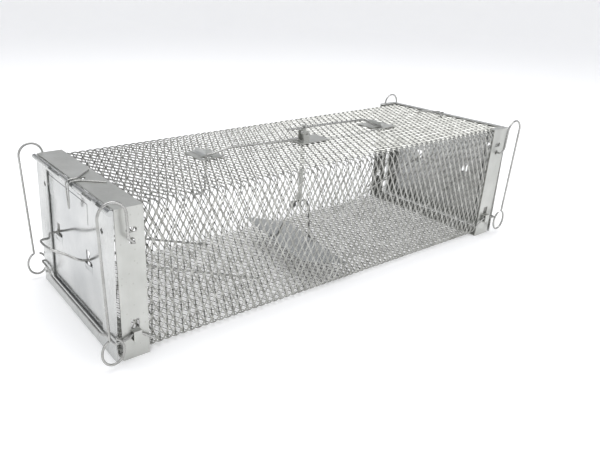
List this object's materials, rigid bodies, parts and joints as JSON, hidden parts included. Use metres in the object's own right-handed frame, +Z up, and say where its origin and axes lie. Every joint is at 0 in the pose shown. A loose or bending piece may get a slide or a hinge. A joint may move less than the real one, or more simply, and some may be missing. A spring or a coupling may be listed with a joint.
{
  "type": "live catch trap",
  "caption": "Rectangular wire mesh live catch cage with an inward drop door at each end, roof trigger rods, a hanging treadle and sprung lock bars.",
  "frame": {"origin": "middle of the cage's base, on the surface it stands on", "axes": "+X along the cage towards the right-hand end, +Y across the cage to the back, +Z up"},
  "size_m": [0.4608, 0.157, 0.124],
  "materials": {
    "galvanised_sheet": "bright galvanised sheet, faint rolling grain",
    "door_sheet": "bright galvanised sheet, smooth",
    "treadle_sheet": "dull galvanised sheet",
    "expanded_mesh": "galvanised expanded metal",
    "zinc_wire": "drawn zinc coated wire",
    "spring_wire": "drawn zinc coated spring wire"
  },
  "bodies": {
    "cage": {"left_end_band": "galvanised_sheet", "right_end_band": "galvanised_sheet", "left_front_plate": "galvanised_sheet", "right_front_plate": "galvanised_sheet", "mesh_roof": "expanded_mesh", "mesh_floor": "expanded_mesh", "mesh_front_side": "expanded_mesh", "mesh_back_side": "expanded_mesh", "left_latch_plate": "galvanised_sheet", "right_latch_plate": "galvanised_sheet", "trigger_bracket": "galvanised_sheet", "trigger_pin": "zinc_wire", "left_top_clip": "zinc_wire", "right_top_clip": "zinc_wire", "left_hinge_wire": "zinc_wire", "right_hinge_wire": "zinc_wire"},
    "left_door": {"left_door": "door_sheet"},
    "right_door": {"right_door": "door_sheet"},
    "left_prop": {"left_prop_wire": "zinc_wire"},
    "right_prop": {"right_prop_wire": "zinc_wire"},
    "left_lock": {"left_lock_bar": "zinc_wire"},
    "right_lock": {"right_lock_bar": "zinc_wire"},
    "left_front_spring": {"left_front_spring": "spring_wire"},
    "left_back_spring": {"left_back_spring": "spring_wire"},
    "right_front_spring": {"right_front_spring": "spring_wire"},
    "right_back_spring": {"right_back_spring": "spring_wire"},
    "lever": {"trigger_lever": "galvanised_sheet"},
    "left_rod": {"left_trigger_rod": "zinc_wire"},
    "right_rod": {"right_trigger_rod": "zinc_wire"},
    "treadle": {"treadle_hoop": "zinc_wire", "treadle_plate": "treadle_sheet"}
  },
  "joints": [
    {"name": "left_door_swing", "type": "hinge", "parent": "cage", "child": "left_door", "pos_m": [-0.2028, 0, 0.1042], "axis": [0, -1, 0], "range_deg": [0, 80]},
    {"name": "left_prop_swing", "type": "hinge", "parent": "left_door", "child": "left_prop", "pos_m": [-0.20595, 0, 0.05703], "axis": [0, -1, 0], "range_deg": [-57, 0]},
    {"name": "left_lock_slide", "type": "slide", "parent": "cage", "child": "left_lock", "axis": [-1, 0, 0], "range_m": [0, 0.003], "stiffness_N_per_m": 300},
    {"name": "left_front_spring_swing", "type": "hinge", "parent": "cage", "child": "left_front_spring", "pos_m": [-0.194, -0.0765, 0.087], "axis": [0, 1, 0], "range_deg": [0, 2.5]},
    {"name": "left_back_spring_swing", "type": "hinge", "parent": "cage", "child": "left_back_spring", "pos_m": [-0.194, 0.0765, 0.087], "axis": [0, 1, 0], "range_deg": [0, 2.5]},
    {"name": "right_door_swing", "type": "hinge", "parent": "cage", "child": "right_door", "pos_m": [0.2028, 0, 0.1042], "axis": [0, 1, 0], "range_deg": [0, 80]},
    {"name": "right_prop_swing", "type": "hinge", "parent": "right_door", "child": "right_prop", "pos_m": [0.20595, 0, 0.05703], "axis": [0, 1, 0], "range_deg": [-57, 0]},
    {"name": "right_lock_slide", "type": "slide", "parent": "cage", "child": "right_lock", "axis": [1, 0, 0], "range_m": [0, 0.003], "stiffness_N_per_m": 300},
    {"name": "right_front_spring_swing", "type": "hinge", "parent": "cage", "child": "right_front_spring", "pos_m": [0.194, -0.0765, 0.087], "axis": [0, -1, 0], "range_deg": [0, 2.5]},
    {"name": "right_back_spring_swing", "type": "hinge", "parent": "cage", "child": "right_back_spring", "pos_m": [0.194, 0.0765, 0.087], "axis": [0, -1, 0], "range_deg": [0, 2.5]},
    {"name": "trigger_swing", "type": "hinge", "parent": "cage", "child": "lever", "pos_m": [0.002, -0.007, 0.1166], "axis": [0, 1, 0], "range_deg": [-8, 8]},
    {"name": "left_rod_slide", "type": "slide", "parent": "cage", "child": "left_rod", "axis": [1, 0, 0], "range_m": [-0.0008, 0.0008]},
    {"name": "right_rod_slide", "type": "slide", "parent": "cage", "child": "right_rod", "axis": [1, 0, 0], "range_m": [-0.0008, 0.0008]},
    {"name": "treadle_tip", "type": "hinge", "parent": "lever", "child": "treadle", "pos_m": [0.002, -0.007, 0.054], "axis": [0.9877, -0.1564, 0], "range_deg": [-5, 5]}
  ],
  "couplings": [
    {"joint": "left_prop_swing", "follows": "left_door_swing", "ratio": -0.706},
    {"joint": "left_front_spring_swing", "follows": "left_lock_slide", "rad_per_m": 13.605},
    {"joint": "left_back_spring_swing", "follows": "left_lock_slide", "rad_per_m": 13.605},
    {"joint": "right_prop_swing", "follows": "right_door_swing", "ratio": -0.706},
    {"joint": "right_front_spring_swing", "follows": "right_lock_slide", "rad_per_m": 13.605},
    {"joint": "right_back_spring_swing", "follows": "right_lock_slide", "rad_per_m": 13.605},
    {"joint": "left_rod_slide", "follows": "trigger_swing", "m_per_rad": -0.005},
    {"joint": "right_rod_slide", "follows": "trigger_swing", "m_per_rad": 0.005}
  ]
}
